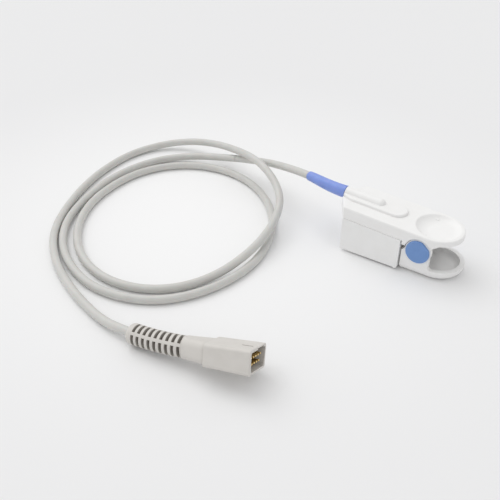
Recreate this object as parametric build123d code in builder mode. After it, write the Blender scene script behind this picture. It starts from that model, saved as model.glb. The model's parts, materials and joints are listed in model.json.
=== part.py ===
"""Reusable finger-clip SpO2 sensor: two sprung jaws, a free cable and a nine-pin D-type plug.

Frame: millimetres, +Z up. X runs along the clip from the finger mouth (-X) to the squeeze tabs (+X),
Y across it. The origin is under the middle of the clip, on the surface that the lower jaw stands on.
The jaws are closed, which is the rest position.
"""
import os
from math import atan2, cos, radians, sin, tan

from build123d import *

# ---- driving dimensions: clip -------------------------------------------------------------------
HALF_W = 13.8            # half width of the upper shell
MOUTH_X = -15.1          # finger-mouth end of both jaws
NOSE_X = -20.9           # end of the upper shell's nose, where the cable comes in
NOSE_HALF_W = 4.6
TAB_X = 32.3             # centre of the upper tab's round end
TOP_Z = 26.7             # top edge of the upper shell at the mouth
SLOPE = radians(3.0)     # the upper shell falls this much towards the tab
BAND = 6.7               # height of the upper shell's side band
TAB_EDGE = 3.0           # height of the tab's rim
WALL = 2.0               # wall of both shells
HINGE_X, HINGE_Z = 28.0, 14.7
LOBE_R = 6.9             # round ears of the lower shell about the hinge
LOBE_GAP = 0.35          # between the ears and the upper shell's side walls
EAR_IN, EAR_OUT = 11.0, 13.4
LUG_IN, LUG_OUT = 8.2, 10.7
PIN_R = 1.5
CAP_R = 6.3
CAP_FLAT = 5.85          # distance of the cap's flat from its centre
CAP_FLAT_TURN = 48.0     # degrees from +X towards +Z
CAP_T = 1.2
HUB_R = 2.6

LOWER_HALF_W = 13.4      # lower shell beside the hinge and at its tab
TRAY_HALF_W = 10.7       # lower shell between the side shields
STEP_X = 19.3            # where the lower shell widens
LOWER_TAB_X = 35.2       # centre of the lower tab's round end
TRAY_H = 7.2
TAB_H = 5.6
HOLLOW_ROUND = 2.6
TAB_ROUND = 4.5          # rounding under the lower tab
EAR_X1 = HINGE_X + 6.4   # upright edge of the ears
FLOOR_T = 1.8

SHIELD_X1 = 18.5         # side shields run from the mouth to here
SHIELD_T = 1.7
SHIELD_BOTTOM = 1.2

SCOOP_X = 33.6           # thumb scoop: centre, radius, rounding and depths below the top
SCOOP_R = 14.2
SCOOP_ROUND = 8.0
SCOOP_RIM_ROUND = 0.7
HEEL_DEPTH = 3.5
EXIT_DEPTH = 0.8
HEEL_X = SCOOP_X - SCOOP_R + 1.5
ROOF_AT_DISH = 4.6       # thickness of the roof under the scoop's heel
WALL_LOW_Z = 18.2        # lower edge of the upper shell's side walls beside the hinge

# ---- driving dimensions: cable and plug -----------------------------------------------------------
CABLE_D = 4.5
BORE_GAP = 0.03          # between the cable and a moulded boot
BOOT_ROOT_R = 3.5
BOOT_TIP_R = 2.7
PLUG_W, PLUG_H, PLUG_L = 19.4, 11.0, 21.5
PLUG_NOSE = Vector(2.9, -121.8, 12.3)
PLUG_YAW, PLUG_PITCH, PLUG_ROLL = 14.0, 6.5, -29.0
NECK_L = 12.3
PLUG_BOOT_L = 29.2
PLUG_BOOT_R = 5.0
PLUG_BOOT_BEND = 12.0    # degrees that the plug's boot bends over its length
SLOTS = 9
SLOT_PITCH = 2.94
SLOT_W = 1.6
SLOT_START = 0.7         # first slot, from the neck
SLOT_TURN = 18.0         # degrees that the rows of slots are turned about the boot
SLOT_FLOOR_R = 2.75
SLOT_WEB = 1.5           # material left between the rows

# Route of the cable's centre line, from the sensor boot's tip to the plug boot's end.
ROUTE = [
    (-47.1, 5.9, 26.3), (-55, 9, 25), (-69, 14, 22), (-83, 20.5, 17.5), (-97, 25, 13), (-112, 26.5, 9.5),
    (-131, 25, 6), (-148, 20, 3.6), (-161, 9, 2.4), (-168.5, -8, 2.3), (-171, -28, 2.3), (-168.5, -48, 2.3),
    (-164, -65, 2.3), (-157, -81, 2.3), (-146, -95, 2.3), (-132, -106, 2.3), (-116, -113.5, 2.3),
    (-100.5, -117, 2.3), (-84, -115.5, 2.3), (-68, -108.5, 2.3), (-56, -96, 2.3), (-48, -79, 2.3),
    (-44.5, -59, 2.3), (-47, -39, 2.3), (-56, -18, 2.3), (-70, 0, 2.3), (-88, 13, 2.3), (-108, 19.5, 2.3),
    (-127, 18.5, 2.3), (-143, 11.5, 2.3), (-155.5, -1, 2.3), (-162.5, -17, 2.3), (-164, -36, 2.3),
    (-161, -56, 2.3), (-153.5, -73, 2.3), (-143, -87, 2.3), (-130, -98, 2.3), (-115, -105.5, 2.3),
    (-99.5, -108.5, 2.3), (-84, -106.5, 2.3), (-70.5, -99.5, 2.3), (-60, -87.5, 2.5), (-53, -72.5, 3.6),
    (-49, -55.5, 6.4), (-48.8, -38, 8.6), (-52.2, -21, 10.6), (-58.5, -6.5, 13.2), (-69, 4, 16.2),
    (-82, 12.5, 18.2), (-95, 19, 18.2), (-112, 26.5, 15.4), (-136, 34.5, 10.4), (-158, 34.5, 6),
    (-175, 24, 3), (-184, 3, 2.3), (-183.5, -24, 2.3), (-177, -50, 2.3), (-167, -73, 2.3),
    (-158, -88.5, 2.3), (-146.5, -101.5, 2.3), (-132, -112.5, 2.3), (-116, -121, 2.3), (-99.5, -128, 2.3),
    (-86, -133, 2.3), (-76, -135.5, 3.0),
]

os.makedirs("parts", exist_ok=True)


def save(part, name):
    """Label a finished piece and write its STEP file."""
    part.label = name
    export_step(part, f"parts/{name}.step")


def top_z(x):
    """Height of the upper shell's top edge at x."""
    return TOP_Z - (x - MOUTH_X) * tan(SLOPE)


def cross_plane(x, z=0.0):
    """Plane across the clip at x: local x is +Y, local y is +Z, normal +X."""
    return Plane(origin=(x, 0, z), x_dir=(0, 1, 0), z_dir=(1, 0, 0))


def side_plane(y):
    """Plane along the clip at y: local x is +X, local y is +Z, normal -Y."""
    return Plane(origin=(0, y, 0), x_dir=(1, 0, 0), z_dir=(0, -1, 0))


# ---- upper shell ------------------------------------------------------------------------------
COVER_HALF_W = 6.0
COVER_X0, COVER_X1 = NOSE_X, 15.0
COVER_NOSE_HALF_W = 4.0
COVER_RISE = 1.4
CHANNEL_HALF_W = 4.0
RIDGE_R = 3.3
RIDGE_L = 23.0
RIDGE_FALL = 0.045        # radians
BOOT_ROOT = Vector(NOSE_X, 0, 27.3)
band_low = [(x, top_z(x) - BAND) for x in (MOUTH_X - 8, SHIELD_X1 + 0.5)]

with BuildPart() as upper_shell:
    with BuildSketch(side_plane(HALF_W + 1)):
        with BuildLine():
            Polyline(
                (MOUTH_X - 8, top_z(MOUTH_X - 8)),
                (TAB_X + HALF_W + 1, top_z(TAB_X + HALF_W + 1)),
                (TAB_X + HALF_W + 1, top_z(TAB_X + HALF_W + 1) - TAB_EDGE),
                (TAB_X + 6, top_z(TAB_X + 6) - TAB_EDGE),
                (TAB_X + 2.0, WALL_LOW_Z + 0.2),
                (SHIELD_X1 + 1.5, WALL_LOW_Z - 2.2),
                (SHIELD_X1 + 0.4, WALL_LOW_Z - 2.1),
                band_low[1],
                band_low[0],
                close=True,
            )
        make_face()
    extrude(amount=2 * (HALF_W + 1))
    with BuildSketch(Plane.XY) as upper_plan:
        with BuildLine():
            Polyline(
                (TAB_X, HALF_W),
                (MOUTH_X, HALF_W),
                (NOSE_X, NOSE_HALF_W),
                (NOSE_X, -NOSE_HALF_W),
                (MOUTH_X, -HALF_W),
                (TAB_X, -HALF_W),
            )
            ThreePointArc((TAB_X, -HALF_W), (TAB_X + HALF_W, 0), (TAB_X, HALF_W))
        make_face()
        fillet(upper_plan.vertices().group_by(Axis.X)[0], radius=2.0)
        fillet(upper_plan.vertices().filter_by(lambda v: abs(v.X - MOUTH_X) < 0.1), radius=1.2)
    extrude(amount=40, mode=Mode.INTERSECT)
    top_edges = upper_shell.faces().sort_by(Axis.Z)[-1].edges()
    fillet(top_edges, radius=0.9)
    # cavity over the finger and the hinge, open below
    with BuildSketch(side_plane(HALF_W - WALL)):
        with BuildLine():
            Polyline(
                (MOUTH_X + 0.4, top_z(MOUTH_X) - WALL),
                (HEEL_X - 2.0, top_z(HEEL_X - 2.0) - WALL),
                (HEEL_X - 0.6, top_z(HEEL_X) - ROOF_AT_DISH),
                (TAB_X + 0.6, top_z(TAB_X) - ROOF_AT_DISH),
                (TAB_X + 2.6, 5),
                (MOUTH_X + 0.4, 5),
                close=True,
            )
        make_face()
    extrude(amount=2 * (HALF_W - WALL), mode=Mode.SUBTRACT)
    # side walls stay clear of the lower shell's round ears
    for start_y in (HALF_W + 1, -LUG_OUT):
        with BuildSketch(side_plane(start_y)):
            with Locations((HINGE_X, HINGE_Z)):
                Circle(LOBE_R + LOBE_GAP)
        extrude(amount=HALF_W + 1 - LUG_OUT, mode=Mode.SUBTRACT)
    # thumb scoop: a tilted round bowl with a steep heel, running out near the tab's rim
    heel_low = top_z(SCOOP_X - SCOOP_R) - HEEL_DEPTH
    exit_low = top_z(SCOOP_X + SCOOP_R) - EXIT_DEPTH
    scoop_tilt = atan2(exit_low - heel_low, 2 * SCOOP_R)
    scoop_floor = Plane(
        origin=(SCOOP_X, 0, (heel_low + exit_low) / 2),
        x_dir=(cos(scoop_tilt), 0, sin(scoop_tilt)),
        z_dir=(-sin(scoop_tilt), 0, cos(scoop_tilt)),
    )
    with BuildPart(mode=Mode.PRIVATE) as scoop:
        with BuildSketch(scoop_floor):
            Circle(SCOOP_R)
        extrude(amount=12)
        fillet(scoop.faces().sort_by(Axis.Z)[0].edges(), radius=SCOOP_ROUND)
    add(scoop.part, mode=Mode.SUBTRACT)
    roof_faces = upper_shell.faces().filter_by(lambda face: face.normal_at().Z > 0.99)
    roof_top = roof_faces.sort_by(lambda face: face.area)[-1]
    fillet(roof_top.inner_wires()[0].edges(), radius=SCOOP_RIM_ROUND)
    # lugs that turn on the hinge pin
    for side in (1, -1):
        lug_y = LUG_OUT if side > 0 else -LUG_IN
        with BuildSketch(side_plane(lug_y)):
            with BuildLine():
                Polyline(
                    (HINGE_X - 5.5, top_z(HINGE_X) - 1.0),
                    (HINGE_X - 4.2, HINGE_Z),
                    (HINGE_X + 4.2, HINGE_Z),
                    (HINGE_X + 3.0, top_z(HINGE_X) - 3.2),
                    (HINGE_X + 1.2, top_z(HINGE_X) - 1.6),
                    close=True,
                )
            make_face()
            with Locations((HINGE_X, HINGE_Z)):
                Circle(4.2)
        extrude(amount=LUG_OUT - LUG_IN)
    with BuildSketch(side_plane(LUG_OUT + 0.1)):
        with Locations((HINGE_X, HINGE_Z)):
            Circle(PIN_R + 0.05)
    extrude(amount=2 * (LUG_OUT + 0.1), mode=Mode.SUBTRACT)
    # channel in the roof for the cable, under the cover
    with BuildSketch(Plane.XY.offset(24.2)):
        with Locations(((MOUTH_X - 3 + 6.5) / 2, 0)):
            Rectangle(6.5 - MOUTH_X + 3, 2 * CHANNEL_HALF_W)
    extrude(amount=10, mode=Mode.SUBTRACT)
    # socket for the sensor boot, half in the shell's nose and half in the cover
    with BuildSketch(cross_plane(NOSE_X - 1)):
        with Locations((0, BOOT_ROOT.Z)):
            Circle(BOOT_ROOT_R - 0.7)
    extrude(amount=4.5, mode=Mode.SUBTRACT)
save(upper_shell.part, "upper_shell")

# ---- cable cover: a crowned strip that snaps over the channel and holds the sensor boot -------------
with BuildPart() as cable_cover:
    with BuildSketch(side_plane(COVER_HALF_W + 1)):
        with BuildLine():
            Polyline(
                (COVER_X0, top_z(COVER_X0) + COVER_RISE),
                (COVER_X1, top_z(COVER_X1) + COVER_RISE),
                (COVER_X1, top_z(COVER_X1) + 0.03),
                (COVER_X0, top_z(COVER_X0) + 0.03),
                close=True,
            )
        make_face()
    extrude(amount=2 * (COVER_HALF_W + 1))
    with BuildSketch(Plane.XY) as cover_plan:
        with BuildLine():
            Line((MOUTH_X, COVER_HALF_W), (COVER_X1 - 4.5, COVER_HALF_W))
            ThreePointArc((COVER_X1 - 4.5, COVER_HALF_W), (COVER_X1, 0), (COVER_X1 - 4.5, -COVER_HALF_W))
            Polyline(
                (COVER_X1 - 4.5, -COVER_HALF_W),
                (MOUTH_X, -COVER_HALF_W),
                (COVER_X0, -COVER_NOSE_HALF_W),
                (COVER_X0, COVER_NOSE_HALF_W),
                (MOUTH_X, COVER_HALF_W),
            )
        make_face()
        fillet(cover_plan.vertices().group_by(Axis.X)[0], radius=1.6)
        fillet(cover_plan.vertices().filter_by(lambda v: abs(v.X - MOUTH_X) < 0.1), radius=3.0)
    extrude(amount=40, mode=Mode.INTERSECT)
    cover_top = cable_cover.faces().filter_by(lambda face: face.normal_at().Z > 0.9)
    fillet(cover_top.edges(), radius=0.9)
    # rounded ridge over the cable
    ridge_plane = Plane(
        origin=(COVER_X0 + 0.2, 0, BOOT_ROOT.Z),
        x_dir=(0, 1, 0),
        z_dir=(cos(RIDGE_FALL), 0, -sin(RIDGE_FALL)),
    )
    with BuildPart(mode=Mode.PRIVATE) as ridge:
        with BuildSketch(ridge_plane):
            Circle(RIDGE_R)
        extrude(amount=RIDGE_L)
        fillet(ridge.faces().sort_by(Axis.X)[-1].edges(), radius=RIDGE_R - 0.3)
    add(ridge.part)
    # everything below the roof of the upper shell is cut away
    with BuildSketch(side_plane(COVER_HALF_W + 1)):
        with BuildLine():
            Polyline(
                (COVER_X0 - 2, top_z(COVER_X0 - 2) + 0.03),
                (COVER_X1 + 3, top_z(COVER_X1 + 3) + 0.03),
                (COVER_X1 + 3, 15),
                (COVER_X0 - 2, 15),
                close=True,
            )
        make_face()
    extrude(amount=2 * (COVER_HALF_W + 1), mode=Mode.SUBTRACT)
    # rails that snap into the channel
    with BuildSketch(Plane.XY.offset(top_z(5) - 1.2)):
        with Locations((-4, CHANNEL_HALF_W - 0.7), (-4, -CHANNEL_HALF_W + 0.7)):
            Rectangle(15, 1.2)
    extrude(amount=2.6)
    # socket for the sensor boot, and the channel for the cable
    with BuildSketch(cross_plane(COVER_X0 - 1, 0)):
        with Locations((0, BOOT_ROOT.Z)):
            Circle(BOOT_ROOT_R - 0.7)
    extrude(amount=4.0, mode=Mode.SUBTRACT)
    with BuildSketch(cross_plane(COVER_X0 - 1, 0)):
        with Locations((0, BOOT_ROOT.Z)):
            Circle(CABLE_D / 2 + BORE_GAP)
    extrude(amount=12.0, mode=Mode.SUBTRACT)
save(cable_cover.part, "cable_cover")

# ---- side shields: plates that hang from the upper shell and keep room light off the finger ----------
for name, side in (("side_shield_near", -1), ("side_shield_far", 1)):
    with BuildPart() as side_shield:
        with BuildSketch(cross_plane(MOUTH_X)):
            with BuildLine():
                Polyline(
                    (side * (HALF_W + 0.35), top_z(MOUTH_X) - BAND - 0.1),
                    (side * (HALF_W + 0.5), 12.0),
                    (side * (HALF_W + 1.0), SHIELD_BOTTOM),
                    (side * (HALF_W + 1.0 - SHIELD_T), SHIELD_BOTTOM),
                    (side * (HALF_W + 0.5 - SHIELD_T), 12.0),
                    (side * (HALF_W - WALL - 0.15), top_z(MOUTH_X) - BAND - 0.1),
                    close=True,
                )
            make_face()
        extrude(amount=SHIELD_X1 - MOUTH_X)
        # thicker rib down the edge beside the hinge
        with BuildSketch(cross_plane(SHIELD_X1 - 2.8)):
            with BuildLine():
                Polyline(
                    (side * (HALF_W + 0.7), top_z(MOUTH_X) - BAND - 0.1),
                    (side * (HALF_W + 0.85), 12.0),
                    (side * (HALF_W + 1.35), SHIELD_BOTTOM),
                    (side * (HALF_W + 0.6 - SHIELD_T), SHIELD_BOTTOM),
                    (side * (HALF_W - 0.2 - SHIELD_T), top_z(MOUTH_X) - BAND - 0.1),
                    close=True,
                )
            make_face()
        extrude(amount=2.8)
        # the top edge follows the band
        with BuildSketch(side_plane(HALF_W + 3)):
            with BuildLine():
                Polyline(
                    (MOUTH_X - 1, top_z(MOUTH_X - 1) - BAND - 0.08),
                    (SHIELD_X1 + 1, top_z(SHIELD_X1 + 1) - BAND - 0.08),
                    (SHIELD_X1 + 1, 30),
                    (MOUTH_X - 1, 30),
                    close=True,
                )
            make_face()
        extrude(amount=2 * (HALF_W + 3), mode=Mode.SUBTRACT)
        corner_edges = side_shield.edges().filter_by(Axis.Y).group_by(Axis.Z)[0]
        fillet(corner_edges, radius=1.2)
        # tongue inside the shell's wall
        with BuildSketch(cross_plane(MOUTH_X + 1.0)):
            with Locations((side * (HALF_W - WALL - 0.95), top_z(SHIELD_X1) - BAND + 0.4)):
                Rectangle(1.7, 5.4)
        extrude(amount=SHIELD_X1 - MOUTH_X - 3.0)
    save(side_shield.part, name)

# ---- upper pad, emitter -----------------------------------------------------------------------
PAD_X0, PAD_X1 = MOUTH_X + 1.4, 15.5
EYE_X = -1.0              # the light path across the finger
UPPER_PAD_HALF_W = 9.9
with BuildPart() as upper_pad:
    with BuildSketch(cross_plane(PAD_X0)):
        with BuildLine():
            Polyline(
                (-UPPER_PAD_HALF_W, 14.6),
                (-UPPER_PAD_HALF_W, 20.6),
                (UPPER_PAD_HALF_W, 20.6),
                (UPPER_PAD_HALF_W, 14.6),
            )
            Line((UPPER_PAD_HALF_W, 14.6), (UPPER_PAD_HALF_W - 1.6, 14.6))
            ThreePointArc((UPPER_PAD_HALF_W - 1.6, 14.6), (0, 18.4), (-UPPER_PAD_HALF_W + 1.6, 14.6))
            Line((-UPPER_PAD_HALF_W + 1.6, 14.6), (-UPPER_PAD_HALF_W, 14.6))
        make_face()
    extrude(amount=PAD_X1 - PAD_X0)
    with BuildSketch(Plane.XY.offset(10)):
        with Locations((EYE_X, 0)):
            Circle(3.5)
    extrude(amount=12, mode=Mode.SUBTRACT)
save(upper_pad.part, "upper_pad")

with BuildPart() as emitter_window:
    with BuildSketch(Plane.XY.offset(18.6)):
        with Locations((EYE_X, 0)):
            Circle(3.45)
    extrude(amount=1.2)
    fillet(emitter_window.edges().sort_by(Axis.Z)[0], radius=0.4)
save(emitter_window.part, "emitter_window")

with BuildPart() as emitter_leds:
    with BuildSketch(Plane.XY.offset(19.85)):
        with Locations((EYE_X - 1.1, 0), (EYE_X + 1.1, 0)):
            Rectangle(1.6, 2.4)
    extrude(amount=0.95)
save(emitter_leds.part, "emitter_leds")

with BuildPart() as emitter_board:
    with BuildSketch(Plane.XY.offset(20.8)):
        with Locations((EYE_X + 1, 0)):
            RectangleRounded(15, 12, 1.5)
    extrude(amount=0.8)
save(emitter_board.part, "emitter_board")

# ---- sensor boot and the cable's end inside it -----------------------------------------------------
BOOT_TIP = Vector(*ROUTE[0])
LEAD_DIRECTION = (Vector(*ROUTE[1]) - BOOT_TIP).normalized()
with BuildLine() as boot_axis:
    Spline(BOOT_ROOT, BOOT_TIP, tangents=[(-1, 0, 0), tuple(LEAD_DIRECTION)])
with BuildLine() as cable_end_axis:
    Line(BOOT_ROOT + (8.5, 0, 0), BOOT_ROOT)
    Spline(BOOT_ROOT, BOOT_TIP, tangents=[(-1, 0, 0), tuple(LEAD_DIRECTION)])
with BuildLine() as bore_axis:
    Line(BOOT_ROOT + (4, 0, 0), BOOT_ROOT)
    Spline(BOOT_ROOT, BOOT_TIP, tangents=[(-1, 0, 0), tuple(LEAD_DIRECTION)])
    Line(BOOT_TIP, BOOT_TIP + LEAD_DIRECTION)
boot_edge = boot_axis.edges()[0]
with BuildPart() as sensor_boot:
    for at in (0, 0.5, 1):
        with BuildSketch(Plane(boot_edge.position_at(at), z_dir=boot_edge.tangent_at(at))):
            Circle(BOOT_ROOT_R + (BOOT_TIP_R - BOOT_ROOT_R) * at)
    sweep(path=boot_axis.line, multisection=True)
    with BuildSketch(cross_plane(COVER_X0)):
        with Locations((0, BOOT_ROOT.Z)):
            Circle(BOOT_ROOT_R - 0.75)
    extrude(amount=2.8)
    with BuildSketch(cross_plane(COVER_X0 + 4)):
        with Locations((0, BOOT_ROOT.Z)):
            Circle(CABLE_D / 2 + BORE_GAP)
    sweep(path=bore_axis.line, mode=Mode.SUBTRACT)
save(sensor_boot.part, "sensor_boot")

with BuildPart() as sensor_cable_end:
    with BuildSketch(cross_plane(COVER_X0 + 8.5)):
        with Locations((0, BOOT_ROOT.Z)):
            Circle(CABLE_D / 2)
    sweep(path=cable_end_axis.line)
save(sensor_cable_end.part, "sensor_cable_end")

# ---- lower shell ------------------------------------------------------------------------------
with BuildPart() as lower_shell:
    # tray under the finger
    with BuildSketch(Plane.XY):
        with BuildLine():
            Line((STEP_X + 1, TRAY_HALF_W), (MOUTH_X + 3, TRAY_HALF_W))
            TangentArc((MOUTH_X + 3, TRAY_HALF_W), (MOUTH_X, TRAY_HALF_W - 3), tangent=(-1, 0))
            Line((MOUTH_X, TRAY_HALF_W - 3), (MOUTH_X, -TRAY_HALF_W + 3))
            TangentArc((MOUTH_X, -TRAY_HALF_W + 3), (MOUTH_X + 3, -TRAY_HALF_W), tangent=(0, -1))
            Polyline((MOUTH_X + 3, -TRAY_HALF_W), (STEP_X + 1, -TRAY_HALF_W), (STEP_X + 1, TRAY_HALF_W))
        make_face()
    extrude(amount=TRAY_H)
    tray_edges = lower_shell.faces().sort_by(Axis.Z)[0].edges()
    fillet(tray_edges.filter_by(lambda edge: edge.center().X < STEP_X), radius=1.8)
    # hinge block and tab, with a well rounded underside
    with BuildPart(mode=Mode.PRIVATE) as tab_block:
        with BuildSketch(Plane.XY):
            with BuildLine():
                Polyline(
                    (LOWER_TAB_X, LOWER_HALF_W),
                    (STEP_X, LOWER_HALF_W),
                    (STEP_X, -LOWER_HALF_W),
                    (LOWER_TAB_X, -LOWER_HALF_W),
                )
                ThreePointArc(
                    (LOWER_TAB_X, -LOWER_HALF_W),
                    (LOWER_TAB_X + LOWER_HALF_W, 0),
                    (LOWER_TAB_X, LOWER_HALF_W),
                )
            make_face()
        extrude(amount=HINGE_Z + 5)
        under_edges = tab_block.faces().sort_by(Axis.Z)[0].edges()
        fillet(under_edges.filter_by(lambda edge: edge.center().X > STEP_X + 1), radius=TAB_ROUND)
        with BuildSketch(side_plane(LOWER_HALF_W + 1)):
            with BuildLine():
                Polyline(
                    (STEP_X - 1, -1),
                    (LOWER_TAB_X + LOWER_HALF_W + 1, -1),
                    (LOWER_TAB_X + LOWER_HALF_W + 1, TAB_H),
                    (EAR_X1 + 0.8, TAB_H),
                    (EAR_X1, TAB_H + 0.8),
                    (EAR_X1, HINGE_Z + 2.5),
                    (HINGE_X, HINGE_Z + 2.5),
                    (STEP_X + 2.1, HINGE_Z + 0.5),
                    (STEP_X, HINGE_Z - 2.0),
                    (STEP_X - 1, HINGE_Z - 2.0),
                    close=True,
                )
            make_face()
        extrude(amount=2 * (LOWER_HALF_W + 1), mode=Mode.INTERSECT)
    add(tab_block.part)
    # round ears for the hinge, on the outside of the upper shell's lugs
    for ear_y in (-EAR_IN, EAR_OUT):
        with BuildSketch(side_plane(ear_y)):
            with Locations((HINGE_X, HINGE_Z)):
                Circle(LOBE_R)
        extrude(amount=EAR_OUT - EAR_IN)
    # tray for the lower pad
    with BuildSketch(Plane.XY.offset(FLOOR_T)):
        with Locations(((MOUTH_X + 1.6 + 16.6) / 2, 0)):
            Rectangle(16.6 - MOUTH_X - 1.6, 2 * (TRAY_HALF_W - 1.6))
    extrude(amount=20, mode=Mode.SUBTRACT)
    # hollow below the hinge and inside the tab, with a scooped floor
    with BuildPart(mode=Mode.PRIVATE) as hollow:
        with BuildSketch(Plane.XY.offset(FLOOR_T)):
            with BuildLine():
                Line((18.4, EAR_IN), (LOWER_TAB_X, EAR_IN))
                ThreePointArc((LOWER_TAB_X, EAR_IN), (LOWER_TAB_X + EAR_IN, 0), (LOWER_TAB_X, -EAR_IN))
                Polyline((LOWER_TAB_X, -EAR_IN), (18.4, -EAR_IN), (18.4, EAR_IN))
            make_face()
        extrude(amount=30)
        floor_edges = hollow.faces().sort_by(Axis.Z)[0].edges()
        fillet(floor_edges.filter_by(lambda edge: edge.center().X > STEP_X), radius=HOLLOW_ROUND)
    add(hollow.part, mode=Mode.SUBTRACT)
    # finger stop between the pad and the hinge, with a notch for the detector's lead
    with BuildSketch(Plane.XY.offset(1.0)):
        with Locations((17.5, 0)):
            Rectangle(1.8, 2 * TRAY_HALF_W - 1)
    extrude(amount=10.5)
    with BuildSketch(Plane.XY.offset(FLOOR_T)):
        with Locations((17.5, 6.5)):
            Rectangle(3, 3.2)
    extrude(amount=12, mode=Mode.SUBTRACT)
    # holes for the caps' hubs
    with BuildSketch(side_plane(EAR_OUT + 1)):
        with Locations((HINGE_X, HINGE_Z)):
            Circle(HUB_R + 0.02)
    extrude(amount=2 * (EAR_OUT + 1), mode=Mode.SUBTRACT)
save(lower_shell.part, "lower_shell")

# ---- lower pad, detector ----------------------------------------------------------------------
LOWER_PAD_HALF_W = TRAY_HALF_W - 1.7
with BuildPart() as lower_pad:
    with BuildSketch(cross_plane(MOUTH_X + 1.7)):
        with BuildLine():
            Polyline(
                (-LOWER_PAD_HALF_W, 8.6),
                (-LOWER_PAD_HALF_W, 3.0),
                (LOWER_PAD_HALF_W, 3.0),
                (LOWER_PAD_HALF_W, 8.6),
            )
            Line((LOWER_PAD_HALF_W, 8.6), (LOWER_PAD_HALF_W - 1.2, 8.6))
            ThreePointArc((LOWER_PAD_HALF_W - 1.2, 8.6), (0, 5.0), (-LOWER_PAD_HALF_W + 1.2, 8.6))
            Line((-LOWER_PAD_HALF_W + 1.2, 8.6), (-LOWER_PAD_HALF_W, 8.6))
        make_face()
    extrude(amount=16.5 - MOUTH_X - 1.7)
    with BuildSketch(Plane.XY.offset(1)):
        with Locations((EYE_X, 0)):
            Circle(3.5)
    extrude(amount=12, mode=Mode.SUBTRACT)
save(lower_pad.part, "lower_pad")

with BuildPart() as detector_window:
    with BuildSketch(Plane.XY.offset(3.95)):
        with Locations((EYE_X, 0)):
            Circle(3.45)
    extrude(amount=0.85)
    fillet(detector_window.edges().sort_by(Axis.Z)[-1], radius=0.3)
save(detector_window.part, "detector_window")

with BuildPart() as photodiode:
    with BuildSketch(Plane.XY.offset(3.0)):
        with Locations((EYE_X, 0)):
            Rectangle(4.4, 3.8)
    extrude(amount=0.9)
save(photodiode.part, "photodiode")

with BuildPart() as detector_board:
    with BuildSketch(Plane.XY.offset(2.2)):
        with Locations((EYE_X + 1, 0)):
            RectangleRounded(13, 10, 1.2)
    extrude(amount=0.75)
save(detector_board.part, "detector_board")

with BuildPart() as detector_shield:
    with BuildSketch(Plane.XY.offset(1.85)):
        with Locations((EYE_X + 1, 0)):
            Rectangle(13, 12)
    extrude(amount=0.3)
save(detector_shield.part, "detector_shield")

# ---- hinge ------------------------------------------------------------------------------------
with BuildPart() as hinge_pin:
    with BuildSketch(side_plane(EAR_OUT - 0.4)):
        with Locations((HINGE_X, HINGE_Z)):
            Circle(PIN_R)
    extrude(amount=2 * (EAR_OUT - 0.4))
    chamfer(hinge_pin.edges(), length=0.2)
save(hinge_pin.part, "hinge_pin")

for name, side in (("hinge_cap_near", -1), ("hinge_cap_far", 1)):
    outward = Plane(origin=(HINGE_X, side * EAR_OUT, HINGE_Z), x_dir=(1, 0, 0), z_dir=(0, side, 0))
    with BuildPart() as hinge_cap:
        with BuildSketch(outward.offset(0.02)):
            Circle(CAP_R)
        extrude(amount=CAP_T)
        fillet(hinge_cap.faces().sort_by(Axis.Y)[-1 if side > 0 else 0].edges(), radius=0.35)
        with BuildSketch(outward.offset(0.02)):
            Circle(HUB_R)
        extrude(amount=-(EAR_OUT - EAR_IN))
        # flat on the rim of the cap
        turn = radians(CAP_FLAT_TURN)
        out = CAP_FLAT + 2
        flat_at = (HINGE_X + out * cos(turn), HINGE_Z + out * sin(turn), 0)
        with BuildSketch(side_plane(side * (EAR_OUT + 1.5))):
            with Locations(Location(flat_at, (0, 0, CAP_FLAT_TURN))):
                Rectangle(4, 12)
        extrude(amount=1.48, both=True, mode=Mode.SUBTRACT)
        with BuildSketch(outward.offset(-0.35)):
            Circle(PIN_R + 0.02)
        extrude(amount=-3, mode=Mode.SUBTRACT)
    save(hinge_cap.part, name)

SPRING_R = 3.3
SPRING_WIRE_R = 0.45
SPRING_TURNS = 7
SPRING_PITCH = 1.05
spring_half = SPRING_TURNS * SPRING_PITCH / 2
with BuildPart() as torsion_spring:
    with BuildLine() as coil_line:
        Helix(
            pitch=SPRING_PITCH,
            height=2 * spring_half,
            radius=SPRING_R,
            center=(HINGE_X, spring_half, HINGE_Z),
            direction=(0, -1, 0),
        )
    coil = coil_line.edges()[0]
    with BuildSketch(Plane(coil.position_at(0), z_dir=coil.tangent_at(0))):
        Circle(SPRING_WIRE_R)
    sweep(path=coil_line.line)
    for at, end in ((0, 1), (1, -1)):
        foot = coil.position_at(at)
        reach, rise = (11.5, 5.3) if end > 0 else (3.9, -12.3)
        tip = Vector(HINGE_X + reach, foot.Y, HINGE_Z + rise)
        with BuildSketch(Plane(foot, z_dir=(tip - foot))):
            Circle(SPRING_WIRE_R)
        extrude(amount=(tip - foot).length)
save(torsion_spring.part, "torsion_spring")

# ---- detector lead: thin cable that crosses from the upper jaw to the detector, past the hinge -------
LEAD_R = 0.5
lead_points = [(8, 6.5, 22.4), (18.2, 6.5, 21.6), (19.4, 6.5, 13), (17.5, 6.5, 2.42), (6.6, 2, 2.42)]
with BuildPart() as detector_lead:
    with BuildLine() as lead_line:
        FilletPolyline(*lead_points, radius=1.4)
    with BuildSketch(Plane(lead_line.line @ 0, z_dir=lead_line.line % 0)):
        Circle(LEAD_R)
    sweep(path=lead_line.line)
save(detector_lead.part, "detector_lead")

def mouth_outline(gap):
    """D outline of the plug's mouth, drawn smaller by gap."""
    half_top, half_low, half_h = MOUTH_TOP_W / 2 - gap, MOUTH_LOW_W / 2 - gap, MOUTH_H / 2 - gap
    Polyline((-half_top, half_h), (half_top, half_h), (half_low, -half_h), (-half_low, -half_h), close=True)


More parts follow.
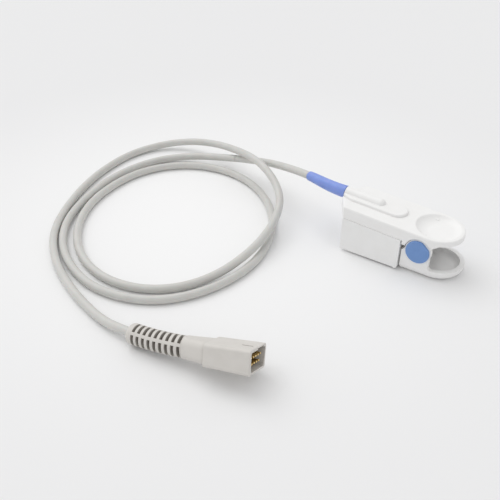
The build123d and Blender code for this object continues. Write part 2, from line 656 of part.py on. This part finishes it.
# ---- plug -------------------------------------------------------------------------------------
PLUG = Plane(Location(PLUG_NOSE, (0, 0, PLUG_YAW)) * Location((0, 0, 0), (0, -PLUG_PITCH, 0))
             * Location((0, 0, 0), (PLUG_ROLL, 0, 0)))


def plug_plane(x):
    """Plane across the plug at x from its nose: local x is the plug's width, local y its height."""
    return Plane(origin=PLUG.origin + PLUG.x_dir * x, x_dir=PLUG.y_dir, z_dir=PLUG.x_dir)


PLUG_AXIS = Axis(PLUG.origin, PLUG.x_dir)
BODY_BACK = -PLUG_L
NECK_BACK = BODY_BACK - NECK_L
CAVITY_DEPTH = 4.8
PIN_TIP_DEPTH = 0.9
PIN_BACK = -11.8
PIN_R_PLUG = 0.51
INSERT_T = 3.4
MOUTH_TOP_W, MOUTH_LOW_W, MOUTH_H = 17.2, 15.4, 8.6
MOUTH_ROUND = 1.0
CHAMBER_BACK = BODY_BACK + 2.0

boot_root = PLUG.origin + PLUG.x_dir * NECK_BACK
boot_back = PLUG.x_dir * -1
boot_side = Vector(0, 0, 1).cross(PLUG.x_dir).normalized()
boot_bend = radians(PLUG_BOOT_BEND)
boot_arc_r = PLUG_BOOT_L / boot_bend


def boot_point(s):
    """Point on the plug boot's centre line, s along it from the neck."""
    turn = s / boot_arc_r
    return boot_root + boot_back * (boot_arc_r * sin(turn)) + boot_side * (boot_arc_r * (1 - cos(turn)))


def boot_tangent(s):
    """Direction of the plug boot's centre line at s, away from the plug."""
    turn = s / boot_arc_r
    return boot_back * cos(turn) + boot_side * sin(turn)


BOOT_END = boot_point(PLUG_BOOT_L)
BOOT_END_DIRECTION = boot_tangent(PLUG_BOOT_L)

with BuildPart() as plug_housing:
    with BuildSketch(plug_plane(BODY_BACK)):
        RectangleRounded(PLUG_W * 0.92, PLUG_H * 0.93, 1.6)
    with BuildSketch(plug_plane(0)):
        RectangleRounded(PLUG_W, PLUG_H, 1.3)
    loft()
    with BuildSketch(plug_plane(NECK_BACK)):
        RectangleRounded(10.2, 9.8, 3.6)
    with BuildSketch(plug_plane(BODY_BACK + 0.5)):
        RectangleRounded(15.2, PLUG_H * 0.9, 3.0)
    loft()
    fillet(plug_housing.faces().sort_by(PLUG_AXIS)[-1].edges(), radius=0.5)
    # mouth
    with BuildSketch(plug_plane(0.1)) as mouth_shape:
        with BuildLine():
            mouth_outline(0)
        make_face()
        fillet(mouth_shape.vertices(), radius=MOUTH_ROUND)
    extrude(amount=-CAVITY_DEPTH - INSERT_T - 0.1, mode=Mode.SUBTRACT)
    # latch pocket in the roof of the mouth
    with BuildSketch(plug_plane(0.1)):
        with Locations((2.6, MOUTH_H / 2)):
            Rectangle(7.0, 1.2)
    extrude(amount=-CAVITY_DEPTH, mode=Mode.SUBTRACT)
    with BuildSketch(plug_plane(-2.2)):
        with Locations((-1.0, PLUG_H / 2)):
            Rectangle(0.8, 1.0)
    extrude(amount=-5.0, mode=Mode.SUBTRACT)
    # chamber for the board, and the cable's way in
    with BuildSketch(plug_plane(-CAVITY_DEPTH - INSERT_T + 0.1)):
        Rectangle(13.4, 6.8)
    extrude(amount=CHAMBER_BACK + CAVITY_DEPTH + INSERT_T, mode=Mode.SUBTRACT)
    with BuildSketch(plug_plane(NECK_BACK - 0.5)):
        Circle(CABLE_D / 2 + BORE_GAP)
    extrude(amount=NECK_L + 4, mode=Mode.SUBTRACT)
save(plug_housing.part, "plug_housing")

with BuildPart() as plug_boot:
    with BuildLine() as plug_boot_axis:
        ThreePointArc(boot_root, boot_point(PLUG_BOOT_L / 2), BOOT_END)
    with BuildSketch(Plane(boot_root, x_dir=PLUG.y_dir, z_dir=boot_back)):
        Circle(PLUG_BOOT_R)
    sweep(path=plug_boot_axis.line)
    end_rim = plug_boot.faces().sort_by(lambda face: (face.center() - BOOT_END).length)[0].edges()
    fillet(end_rim, radius=1.5)
    for i in range(SLOTS):
        station = SLOT_START + i * SLOT_PITCH
        across = Plane(boot_point(station), x_dir=PLUG.y_dir, z_dir=boot_tangent(station))
        with BuildSketch(across):
            Circle(PLUG_BOOT_R + 1)
            Circle(SLOT_FLOOR_R, mode=Mode.SUBTRACT)
            Rectangle(3 * PLUG_BOOT_R, SLOT_WEB, rotation=SLOT_TURN, mode=Mode.SUBTRACT)
            Rectangle(SLOT_WEB, 3 * PLUG_BOOT_R, rotation=SLOT_TURN, mode=Mode.SUBTRACT)
        extrude(amount=SLOT_W, mode=Mode.SUBTRACT)
    with BuildSketch(Plane(boot_root, x_dir=PLUG.y_dir, z_dir=boot_back)):
        Circle(CABLE_D / 2 + BORE_GAP)
    sweep(path=plug_boot_axis.line, mode=Mode.SUBTRACT)
save(plug_boot.part, "plug_boot")

with BuildPart() as plug_cable_end:
    with BuildSketch(Plane(boot_root, x_dir=PLUG.y_dir, z_dir=boot_back)):
        Circle(CABLE_D / 2)
    sweep(path=plug_boot_axis.line)
    with BuildSketch(plug_plane(NECK_BACK)):
        Circle(CABLE_D / 2)
    extrude(amount=NECK_L + 3.2)
save(plug_cable_end.part, "plug_cable_end")

PIN_PITCH, PIN_ROWS = 2.77, 2.84
plug_pin_places = [((i - 2) * PIN_PITCH, PIN_ROWS / 2) for i in range(5)]
plug_pin_places += [((i - 1.5) * PIN_PITCH, -PIN_ROWS / 2) for i in range(4)]
with BuildPart() as plug_insert:
    with BuildSketch(plug_plane(-CAVITY_DEPTH)) as insert_shape:
        with BuildLine():
            mouth_outline(0.03)
        make_face()
        fillet(insert_shape.vertices(), radius=MOUTH_ROUND)
        with Locations(*plug_pin_places):
            Circle(PIN_R_PLUG + 0.02, mode=Mode.SUBTRACT)
    extrude(amount=-INSERT_T + 0.05)
save(plug_insert.part, "plug_insert")

with BuildPart() as plug_pins:
    with BuildSketch(plug_plane(-PIN_TIP_DEPTH)):
        with Locations(*plug_pin_places):
            Circle(PIN_R_PLUG)
    extrude(amount=PIN_BACK + PIN_TIP_DEPTH)
    fillet(plug_pins.edges().group_by(PLUG_AXIS)[-1], radius=0.3)
save(plug_pins.part, "plug_pins")

with BuildPart() as plug_board:
    with BuildSketch(plug_plane(CHAMBER_BACK + 0.9 + 1.4)):
        Rectangle(12, 1.0)
    extrude(amount=5.6)
    with BuildSketch(plug_plane(CHAMBER_BACK + 4.2)):
        with Locations((2.2, 1.1)):
            Rectangle(4.4, 1.4)
    extrude(amount=3.2)
save(plug_board.part, "plug_board")

# ---- cable ------------------------------------------------------------------------------------
route = [Vector(*point) for point in ROUTE] + [BOOT_END + BOOT_END_DIRECTION * 8.0, BOOT_END]
runs = [(b - a).length for a, b in zip(route, route[1:])]
turns = [(b - a).get_angle(c - b) for a, b, c in zip(route, route[1:], route[2:])]
radii = [0.45 * min(a, b) / tan(radians(t) / 2) for a, b, t in zip(runs, runs[1:], turns)]
with BuildPart() as sensor_cable:
    with BuildLine() as cable_line:
        FilletPolyline(*route, radius=radii)
    with BuildSketch(Plane(route[0], z_dir=route[1] - route[0])):
        Circle(CABLE_D / 2)
    sweep(path=cable_line.line)
save(sensor_cable.part, "sensor_cable")
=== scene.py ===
"""Looks of the finger-clip SpO2 sensor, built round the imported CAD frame. Metres, +Z up."""
import json
from math import radians

import bpy
import numpy as np
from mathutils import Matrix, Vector


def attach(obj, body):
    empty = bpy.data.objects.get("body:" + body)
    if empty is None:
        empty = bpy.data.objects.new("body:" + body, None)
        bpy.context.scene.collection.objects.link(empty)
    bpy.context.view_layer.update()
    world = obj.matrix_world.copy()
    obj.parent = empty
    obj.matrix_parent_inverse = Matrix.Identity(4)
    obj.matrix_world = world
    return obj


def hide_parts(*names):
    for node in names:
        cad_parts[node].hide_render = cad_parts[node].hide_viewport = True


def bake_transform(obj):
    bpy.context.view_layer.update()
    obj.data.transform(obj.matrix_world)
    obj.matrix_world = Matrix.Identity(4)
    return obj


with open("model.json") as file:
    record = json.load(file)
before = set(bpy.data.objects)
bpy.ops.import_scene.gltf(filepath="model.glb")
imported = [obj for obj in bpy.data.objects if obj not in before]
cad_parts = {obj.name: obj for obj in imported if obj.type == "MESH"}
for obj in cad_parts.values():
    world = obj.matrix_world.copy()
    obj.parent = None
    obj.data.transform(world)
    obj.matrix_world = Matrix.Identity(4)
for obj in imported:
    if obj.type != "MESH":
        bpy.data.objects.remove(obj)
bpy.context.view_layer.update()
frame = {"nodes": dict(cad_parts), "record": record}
NODES = frame["nodes"]
MM = 0.001


# ---- camera -------------------------------------------------------------------------------------
CAMERA_AT = (0.1195, -0.2984, 0.2167)
CAMERA_TILT = 55.0              # degrees up from straight down
CAMERA_TURN = 34.35             # degrees about Z
LENS, SENSOR = 49.68, 36.0      # mm
CLIP_NEAR, CLIP_FAR = 0.01, 10.0


def make_camera():
    data = bpy.data.cameras.new("camera")
    data.sensor_width = SENSOR
    data.lens = LENS
    data.clip_start = CLIP_NEAR
    data.clip_end = CLIP_FAR
    camera = bpy.data.objects.new("camera", data)
    camera.location = CAMERA_AT
    camera.rotation_euler = (radians(CAMERA_TILT), 0.0, radians(CAMERA_TURN))
    bpy.context.scene.collection.objects.link(camera)
    bpy.context.scene.camera = camera


make_camera()


# ---- shapes -------------------------------------------------------------------------------------
def nurbs_points(points, resolution):
    """Points along a NURBS curve that has these control points, as Blender draws it."""
    data = bpy.data.curves.new("line", "CURVE")
    data.dimensions = "3D"
    data.resolution_u = resolution
    spline = data.splines.new("NURBS")
    spline.points.add(len(points) - 1)
    for control, point in zip(spline.points, points):
        control.co = (*point, 1.0)
    spline.order_u = 3
    spline.use_endpoint_u = True
    holder = bpy.data.objects.new("line", data)
    bpy.context.scene.collection.objects.link(holder)
    mesh = bpy.data.meshes.new_from_object(holder)
    found = [v.co.copy() for v in mesh.vertices]
    bpy.data.objects.remove(holder)
    bpy.data.curves.remove(data)
    bpy.data.meshes.remove(mesh)
    return found


def new_object(name, vertices, faces):
    mesh = bpy.data.meshes.new(name)
    mesh.from_pydata([tuple(v) for v in vertices], [], faces)
    mesh.validate()
    mesh.polygons.foreach_set("use_smooth", [True] * len(mesh.polygons))
    mesh.update()
    made = bpy.data.objects.new(name, mesh)
    bpy.context.scene.collection.objects.link(made)
    return made


def tube(name, path, radius, sides):
    """A closed tube along path, with rings that don't twist."""
    side = (path[1] - path[0]).orthogonal().normalized()
    vertices, faces = [], []
    last = len(path) - 1
    for i, centre in enumerate(path):
        along = (path[min(i + 1, last)] - path[max(i - 1, 0)]).normalized()
        side = (side - along * side.dot(along)).normalized()
        up = along.cross(side)
        for k in range(sides):
            angle = 2 * np.pi * k / sides
            vertices.append(centre + (side * np.cos(angle) + up * np.sin(angle)) * radius)
    for i in range(last):
        for k in range(sides):
            a, b = i * sides + k, i * sides + (k + 1) % sides
            faces.append((a, b, b + sides, a + sides))
    faces.append(tuple(range(sides))[::-1])
    faces.append(tuple(last * sides + k for k in range(sides)))
    return new_object(name, vertices, faces)


# ---- cable --------------------------------------------------------------------------------------
CABLE_D = 4.5 * MM
CABLE_STEPS = 9         # drawn points for each control point
CABLE_SIDES = 24
# control points in mm, from the sensor boot on the upper jaw to the plug's boot
ROUTE = [
    (-47.1, 5.9, 26.3), (-55, 9, 25), (-69, 14, 22), (-83, 20.5, 17.5), (-97, 25, 13),
    (-112, 26.5, 9.5), (-131, 25, 6), (-148, 20, 3.6), (-161, 9, 2.4), (-168.5, -8, 2.3),
    (-171, -28, 2.3), (-168.5, -48, 2.3), (-164, -65, 2.3), (-157, -81, 2.3), (-146, -95, 2.3),
    (-132, -106, 2.3), (-116, -113.5, 2.3), (-100.5, -117, 2.3), (-84, -115.5, 2.3),
    (-68, -108.5, 2.3), (-56, -96, 2.3), (-48, -79, 2.3), (-44.5, -59, 2.3), (-47, -39, 2.3),
    (-56, -18, 2.3), (-70, 0, 2.3), (-88, 13, 2.3), (-108, 19.5, 2.3), (-127, 18.5, 2.3),
    (-143, 11.5, 2.3), (-155.5, -1, 2.3), (-162.5, -17, 2.3), (-164, -36, 2.3),
    (-161, -56, 2.3), (-153.5, -73, 2.3), (-143, -87, 2.3), (-130, -98, 2.3),
    (-115, -105.5, 2.3), (-99.5, -108.5, 2.3), (-84, -106.5, 2.3), (-70.5, -99.5, 2.3),
    (-60, -87.5, 2.5), (-53, -72.5, 3.6), (-49, -55.5, 6.4), (-48.8, -38, 8.6),
    (-52.2, -21, 10.6), (-58.5, -6.5, 13.2), (-69, 4, 16.2), (-82, 12.5, 18.2),
    (-95, 19, 18.2), (-112, 26.5, 15.4), (-136, 34.5, 10.4), (-158, 34.5, 6), (-175, 24, 3),
    (-184, 3, 2.3), (-183.5, -24, 2.3), (-177, -50, 2.3), (-167, -73, 2.3), (-158, -88.5, 2.3),
    (-146.5, -101.5, 2.3), (-132, -112.5, 2.3), (-116, -121, 2.3), (-99.5, -127.4, 2.3),
    (-86, -131.2, 2.3), (-76, -133.4, 3.1), (-66.31, -134.20, 4.31), (-58.37, -133.94, 5.19),
]
LEAD_IN_END = Vector((-112, 26.5, 9.5)) * MM    # where the last turn crosses over the lead-in


def make_cable():
    """Two runs: the lead-in, baked in place, and the turns, which go with the lower jaw on the
    floor.
    """
    path = nurbs_points([Vector(p) * MM for p in ROUTE], CABLE_STEPS)
    split = min(range(len(path)), key=lambda i: (path[i] - LEAD_IN_END).length)
    lead_path, turns_path = path[: split + 1], path[split:]
    lead_in = tube("cable_lead_in", lead_path, CABLE_D / 2, CABLE_SIDES)
    turns = tube("cable_turns", turns_path, CABLE_D / 2, CABLE_SIDES)
    for run in (lead_in, turns):
        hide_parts("sensor_cable")
    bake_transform(lead_in)
    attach(turns, "lower_jaw")
    return lead_in, turns


cable_runs = make_cable()


# ---- spring and detector lead -------------------------------------------------------------------
# control points in mm, from the upper jaw round the back of the mouth to the lower jaw
LEAD = [(8, 6.5, 22.4), (18.2, 6.5, 21.6), (19.4, 6.5, 13), (17.5, 6.5, 2.42), (6.6, 2, 2.42)]
LEAD_RADIUS = 0.5 * MM
LEAD_STEPS = 14
LEAD_SIDES = 14


def make_spring():
    """The CAD spring's own mesh, which winds up from the lower jaw's leg to the upper jaw's."""
    made = bpy.data.objects.new("spring", NODES["torsion_spring"].data.copy())
    bpy.context.scene.collection.objects.link(made)
    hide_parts("torsion_spring")
    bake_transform(made)
    return made


def make_lead():
    path = nurbs_points([Vector(p) * MM for p in LEAD], LEAD_STEPS)
    made = tube("lead", path, LEAD_RADIUS, LEAD_SIDES)
    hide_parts("detector_lead")
    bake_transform(made)
    return made


spring = make_spring()
lead = make_lead()


# ---- softened edges -----------------------------------------------------------------------------
# node: width of the rounding and its segments
SOFT_EDGES = {
    "upper_pad": (0.5 * MM, 3),
    "lower_pad": (0.5 * MM, 3),
    "side_shield_near": (0.25 * MM, 2),
    "side_shield_far": (0.25 * MM, 2),
}
SHARP = radians(40)     # edges that turn less than this stay as they are


def soften(node, width, segments):
    """Rounds the sharp edges of a moulded CAD piece, which keeps its own mesh."""
    bevel = NODES[node].modifiers.new("soft edges", "BEVEL")
    bevel.width = width
    bevel.segments = segments
    bevel.limit_method = "ANGLE"
    bevel.angle_limit = SHARP
    bevel.harden_normals = True


for node, (width, segments) in SOFT_EDGES.items():
    soften(node, width, segments)


# ---- materials ----------------------------------------------------------------------------------
# slot: colour, its patchy second tone, roughness from and to, grain per metre, its depth in mm
FINISHES = {
    "shell_white": ((0.90, 0.897, 0.89), (0.885, 0.88, 0.87), 0.32, 0.42, 2600, 0.008),
    "shield_white": ((0.885, 0.885, 0.88), (0.87, 0.868, 0.86), 0.42, 0.54, 2200, 0.010),
    "pad_silicone": ((0.60, 0.60, 0.59), (0.55, 0.55, 0.54), 0.55, 0.70, 1800, 0.020),
    "lens_clear": ((0.92, 0.92, 0.90), (0.88, 0.88, 0.86), 0.05, 0.10, 900, 0.004),
    "led_body": ((0.74, 0.70, 0.56), (0.66, 0.62, 0.50), 0.40, 0.55, 3000, 0.010),
    "board_green": ((0.05, 0.24, 0.10), (0.04, 0.18, 0.08), 0.30, 0.45, 2500, 0.012),
    "boot_blue": ((0.235, 0.335, 0.77), (0.21, 0.305, 0.72), 0.38, 0.50, 2000, 0.016),
    "cable_grey": ((0.62, 0.615, 0.59), (0.59, 0.585, 0.56), 0.34, 0.46, 1500, 0.016),
    "diode_dark": ((0.05, 0.05, 0.07), (0.03, 0.03, 0.04), 0.20, 0.35, 2500, 0.006),
    "shield_copper": ((0.72, 0.42, 0.25), (0.62, 0.34, 0.20), 0.28, 0.45, 1200, 0.020),
    "steel": ((0.62, 0.62, 0.63), (0.52, 0.52, 0.53), 0.22, 0.38, 3500, 0.010),
    "cap_blue": ((0.165, 0.305, 0.62), (0.15, 0.285, 0.59), 0.34, 0.46, 2200, 0.012),
    "lead_grey": ((0.46, 0.46, 0.44), (0.40, 0.40, 0.38), 0.40, 0.52, 1800, 0.014),
    "plug_grey": ((0.67, 0.645, 0.61), (0.64, 0.615, 0.58), 0.46, 0.60, 2000, 0.022),
    "insert_black": ((0.035, 0.035, 0.037), (0.02, 0.02, 0.022), 0.35, 0.50, 2500, 0.010),
    "gold_pins": ((0.90, 0.66, 0.28), (0.80, 0.56, 0.22), 0.16, 0.30, 3000, 0.004),
}
METALS = ("shield_copper", "steel", "gold_pins")
SOFT = {"boot_blue": 0.12, "cable_grey": 0.05, "pad_silicone": 0.10}    # share of light let in
SOFT_REACH = 1.5 * MM
CLEAR = {"lens_clear": (0.85, 1.5)}                     # transmission, index of refraction
PAINTED_RECESS_SHADE = {"plug_grey": (2.5, (0.24, 0.22, 0.19))}     # painted shade in the slots: reach in mm, and the shade colour deep in them
PATCH_SCALE, PATCH_DETAIL = 160.0, 3.0
PATCH_FROM, PATCH_TO = 0.35, 0.65       # noise levels where one tone ends and the other begins
GRAIN_DETAIL = 2.0
GRAIN_FROM, GRAIN_TO = 0.3, 0.7         # noise levels of the smoothest and the roughest grain
RELIEF = 0.5                            # strength of the bump that the grain makes


def set_inputs(node, **values):
    """Sets a shader node's inputs by name, where From_Min stands for From Min."""
    for name, value in values.items():
        node.inputs[name.replace("_", " ")].default_value = value


def new_material(name):
    """A material, its node tree and its shader."""
    material = bpy.data.materials.new(name)
    material.use_nodes = True
    tree = material.node_tree
    return material, tree, tree.nodes["Principled BSDF"]


def make_material(name):
    colour, tone, smooth_end, rough_end, grain, depth = FINISHES[name]
    material, tree, shader = new_material(name)
    link = tree.links.new
    place = tree.nodes.new("ShaderNodeTexCoord")

    def noise(scale, detail):
        node = tree.nodes.new("ShaderNodeTexNoise")
        set_inputs(node, Scale=scale, Detail=detail)
        link(place.outputs["Object"], node.inputs["Vector"])
        return node.outputs["Fac"]

    patches = noise(PATCH_SCALE, PATCH_DETAIL)
    grains = noise(grain, GRAIN_DETAIL)

    ramp = tree.nodes.new("ShaderNodeValToRGB")
    low, high = ramp.color_ramp.elements
    low.position, high.position = PATCH_FROM, PATCH_TO
    low.color, high.color = (*tone, 1), (*colour, 1)
    link(patches, ramp.inputs["Fac"])
    base = ramp.outputs["Color"]
    # painted shade: the base colour darkens towards the shade tone where ambient occlusion finds
    # the plug's slots and recesses
    if name in PAINTED_RECESS_SHADE:
        reach, painted_shade_tone = PAINTED_RECESS_SHADE[name]
        painted_shade_mask = tree.nodes.new("ShaderNodeAmbientOcclusion")
        set_inputs(painted_shade_mask, Distance=reach * MM)
        mix = tree.nodes.new("ShaderNodeMix")
        mix.data_type = "RGBA"
        set_inputs(mix, A=(*painted_shade_tone, 1))
        link(painted_shade_mask.outputs["AO"], mix.inputs["Factor"])
        link(base, mix.inputs["B"])
        base = mix.outputs["Result"]
    link(base, shader.inputs["Base Color"])

    polish = tree.nodes.new("ShaderNodeMapRange")
    set_inputs(
        polish, From_Min=GRAIN_FROM, From_Max=GRAIN_TO, To_Min=smooth_end, To_Max=rough_end,
    )
    link(grains, polish.inputs["Value"])
    link(polish.outputs["Result"], shader.inputs["Roughness"])

    relief = tree.nodes.new("ShaderNodeBump")
    set_inputs(relief, Strength=RELIEF, Distance=depth * MM)
    link(grains, relief.inputs["Height"])
    link(relief.outputs["Normal"], shader.inputs["Normal"])

    if name in METALS:
        set_inputs(shader, Metallic=1.0)
    if name in SOFT:
        set_inputs(shader, Subsurface_Weight=SOFT[name], Subsurface_Scale=SOFT_REACH)
    if name in CLEAR:
        transmission, refraction = CLEAR[name]
        set_inputs(shader, Transmission_Weight=transmission, IOR=refraction)
    return material


def paint():
    """Every piece gets the finish that its slot in the record names."""
    finished = {name: make_material(name) for name in FINISHES}
    for row in frame["record"]["subparts"]:
        for place in NODES[row["node"]].material_slots:
            place.material = finished[row["material_slot"]]
    new_pieces = [(run, "cable_grey") for run in cable_runs]
    new_pieces += [(spring, "steel"), (lead, "lead_grey")]
    for piece, name in new_pieces:
        piece.data.materials.clear()
        piece.data.materials.append(finished[name])


paint()


# ---- stage --------------------------------------------------------------------------------------
FLOOR_HALF = 9.0                    # half of its side
FLOOR_ROUGHNESS = 0.8
# painted pool of light on the floor: its centre and radius, and the floor colour at its edge and
# in its lit middle
FLOOR_PAINTED_LIGHT_AT = (-0.10, -0.03, 0)
FLOOR_PAINTED_LIGHT_R = 0.24
FLOOR_EDGE = (0.82, 0.82, 0.825, 1)
FLOOR_PAINTED_LIT_MIDDLE = (0.93, 0.93, 0.93, 1)
SKY_BRIGHT = (-0.54, 0.10, 0.83)    # the direction in which the sky is brightest
SKY_FROM, SKY_TO = -0.6, 1.0        # cosines to that direction, for the low and high levels
SKY_LOW, SKY_HIGH = 0.62, 0.84
KEY_STRENGTH = 0.85
KEY_SPREAD = 50.0                   # degrees


def make_floor():
    """A wide floor, with a painted pool of light that makes it a little brighter round the object.
    """
    h = FLOOR_HALF
    floor = new_object("floor", [(-h, -h, 0), (h, -h, 0), (h, h, 0), (-h, h, 0)], [(0, 1, 2, 3)])
    material, tree, shader = new_material("floor")
    link = tree.links.new
    set_inputs(shader, Roughness=FLOOR_ROUGHNESS)
    place = tree.nodes.new("ShaderNodeTexCoord")
    centred = tree.nodes.new("ShaderNodeMapping")
    centred.vector_type = "TEXTURE"
    set_inputs(centred, Location=FLOOR_PAINTED_LIGHT_AT, Scale=(FLOOR_PAINTED_LIGHT_R, FLOOR_PAINTED_LIGHT_R, 1))
    painted_light_pool = tree.nodes.new("ShaderNodeTexGradient")
    painted_light_pool.gradient_type = "SPHERICAL"
    tones = tree.nodes.new("ShaderNodeValToRGB")
    tones.color_ramp.interpolation = "EASE"
    tones.color_ramp.elements[0].color = FLOOR_EDGE
    tones.color_ramp.elements[1].color = FLOOR_PAINTED_LIT_MIDDLE
    link(place.outputs["Object"], centred.inputs["Vector"])
    link(centred.outputs["Vector"], painted_light_pool.inputs["Vector"])
    link(painted_light_pool.outputs["Color"], tones.inputs["Fac"])
    link(tones.outputs["Color"], shader.inputs["Base Color"])
    floor.data.materials.append(material)


def make_sky():
    """A white sky that fades from its bright side to the other."""
    world = bpy.data.worlds.new("world")
    bpy.context.scene.world = world
    world.use_nodes = True
    tree = world.node_tree
    link = tree.links.new
    sky = tree.nodes["Background"]
    set_inputs(sky, Color=(1, 1, 1, 1))
    place = tree.nodes.new("ShaderNodeTexCoord")
    facing = tree.nodes.new("ShaderNodeVectorMath")
    facing.operation = "DOT_PRODUCT"
    facing.inputs[1].default_value = SKY_BRIGHT
    level = tree.nodes.new("ShaderNodeMapRange")
    set_inputs(level, From_Min=SKY_FROM, From_Max=SKY_TO, To_Min=SKY_LOW, To_Max=SKY_HIGH)
    link(place.outputs["Generated"], facing.inputs[0])
    link(facing.outputs["Value"], level.inputs["Value"])
    link(level.outputs["Result"], sky.inputs["Strength"])


def make_key_light():
    """A soft sun from the sky's bright side."""
    lamp = bpy.data.lights.new("key", "SUN")
    lamp.energy = KEY_STRENGTH
    lamp.angle = radians(KEY_SPREAD)
    key = bpy.data.objects.new("key", lamp)
    key.rotation_euler = (-Vector(SKY_BRIGHT)).to_track_quat("-Z", "Y").to_euler()
    bpy.context.scene.collection.objects.link(key)


make_floor()
make_sky()
make_key_light()
bpy.context.scene.view_settings.view_transform = "Standard"
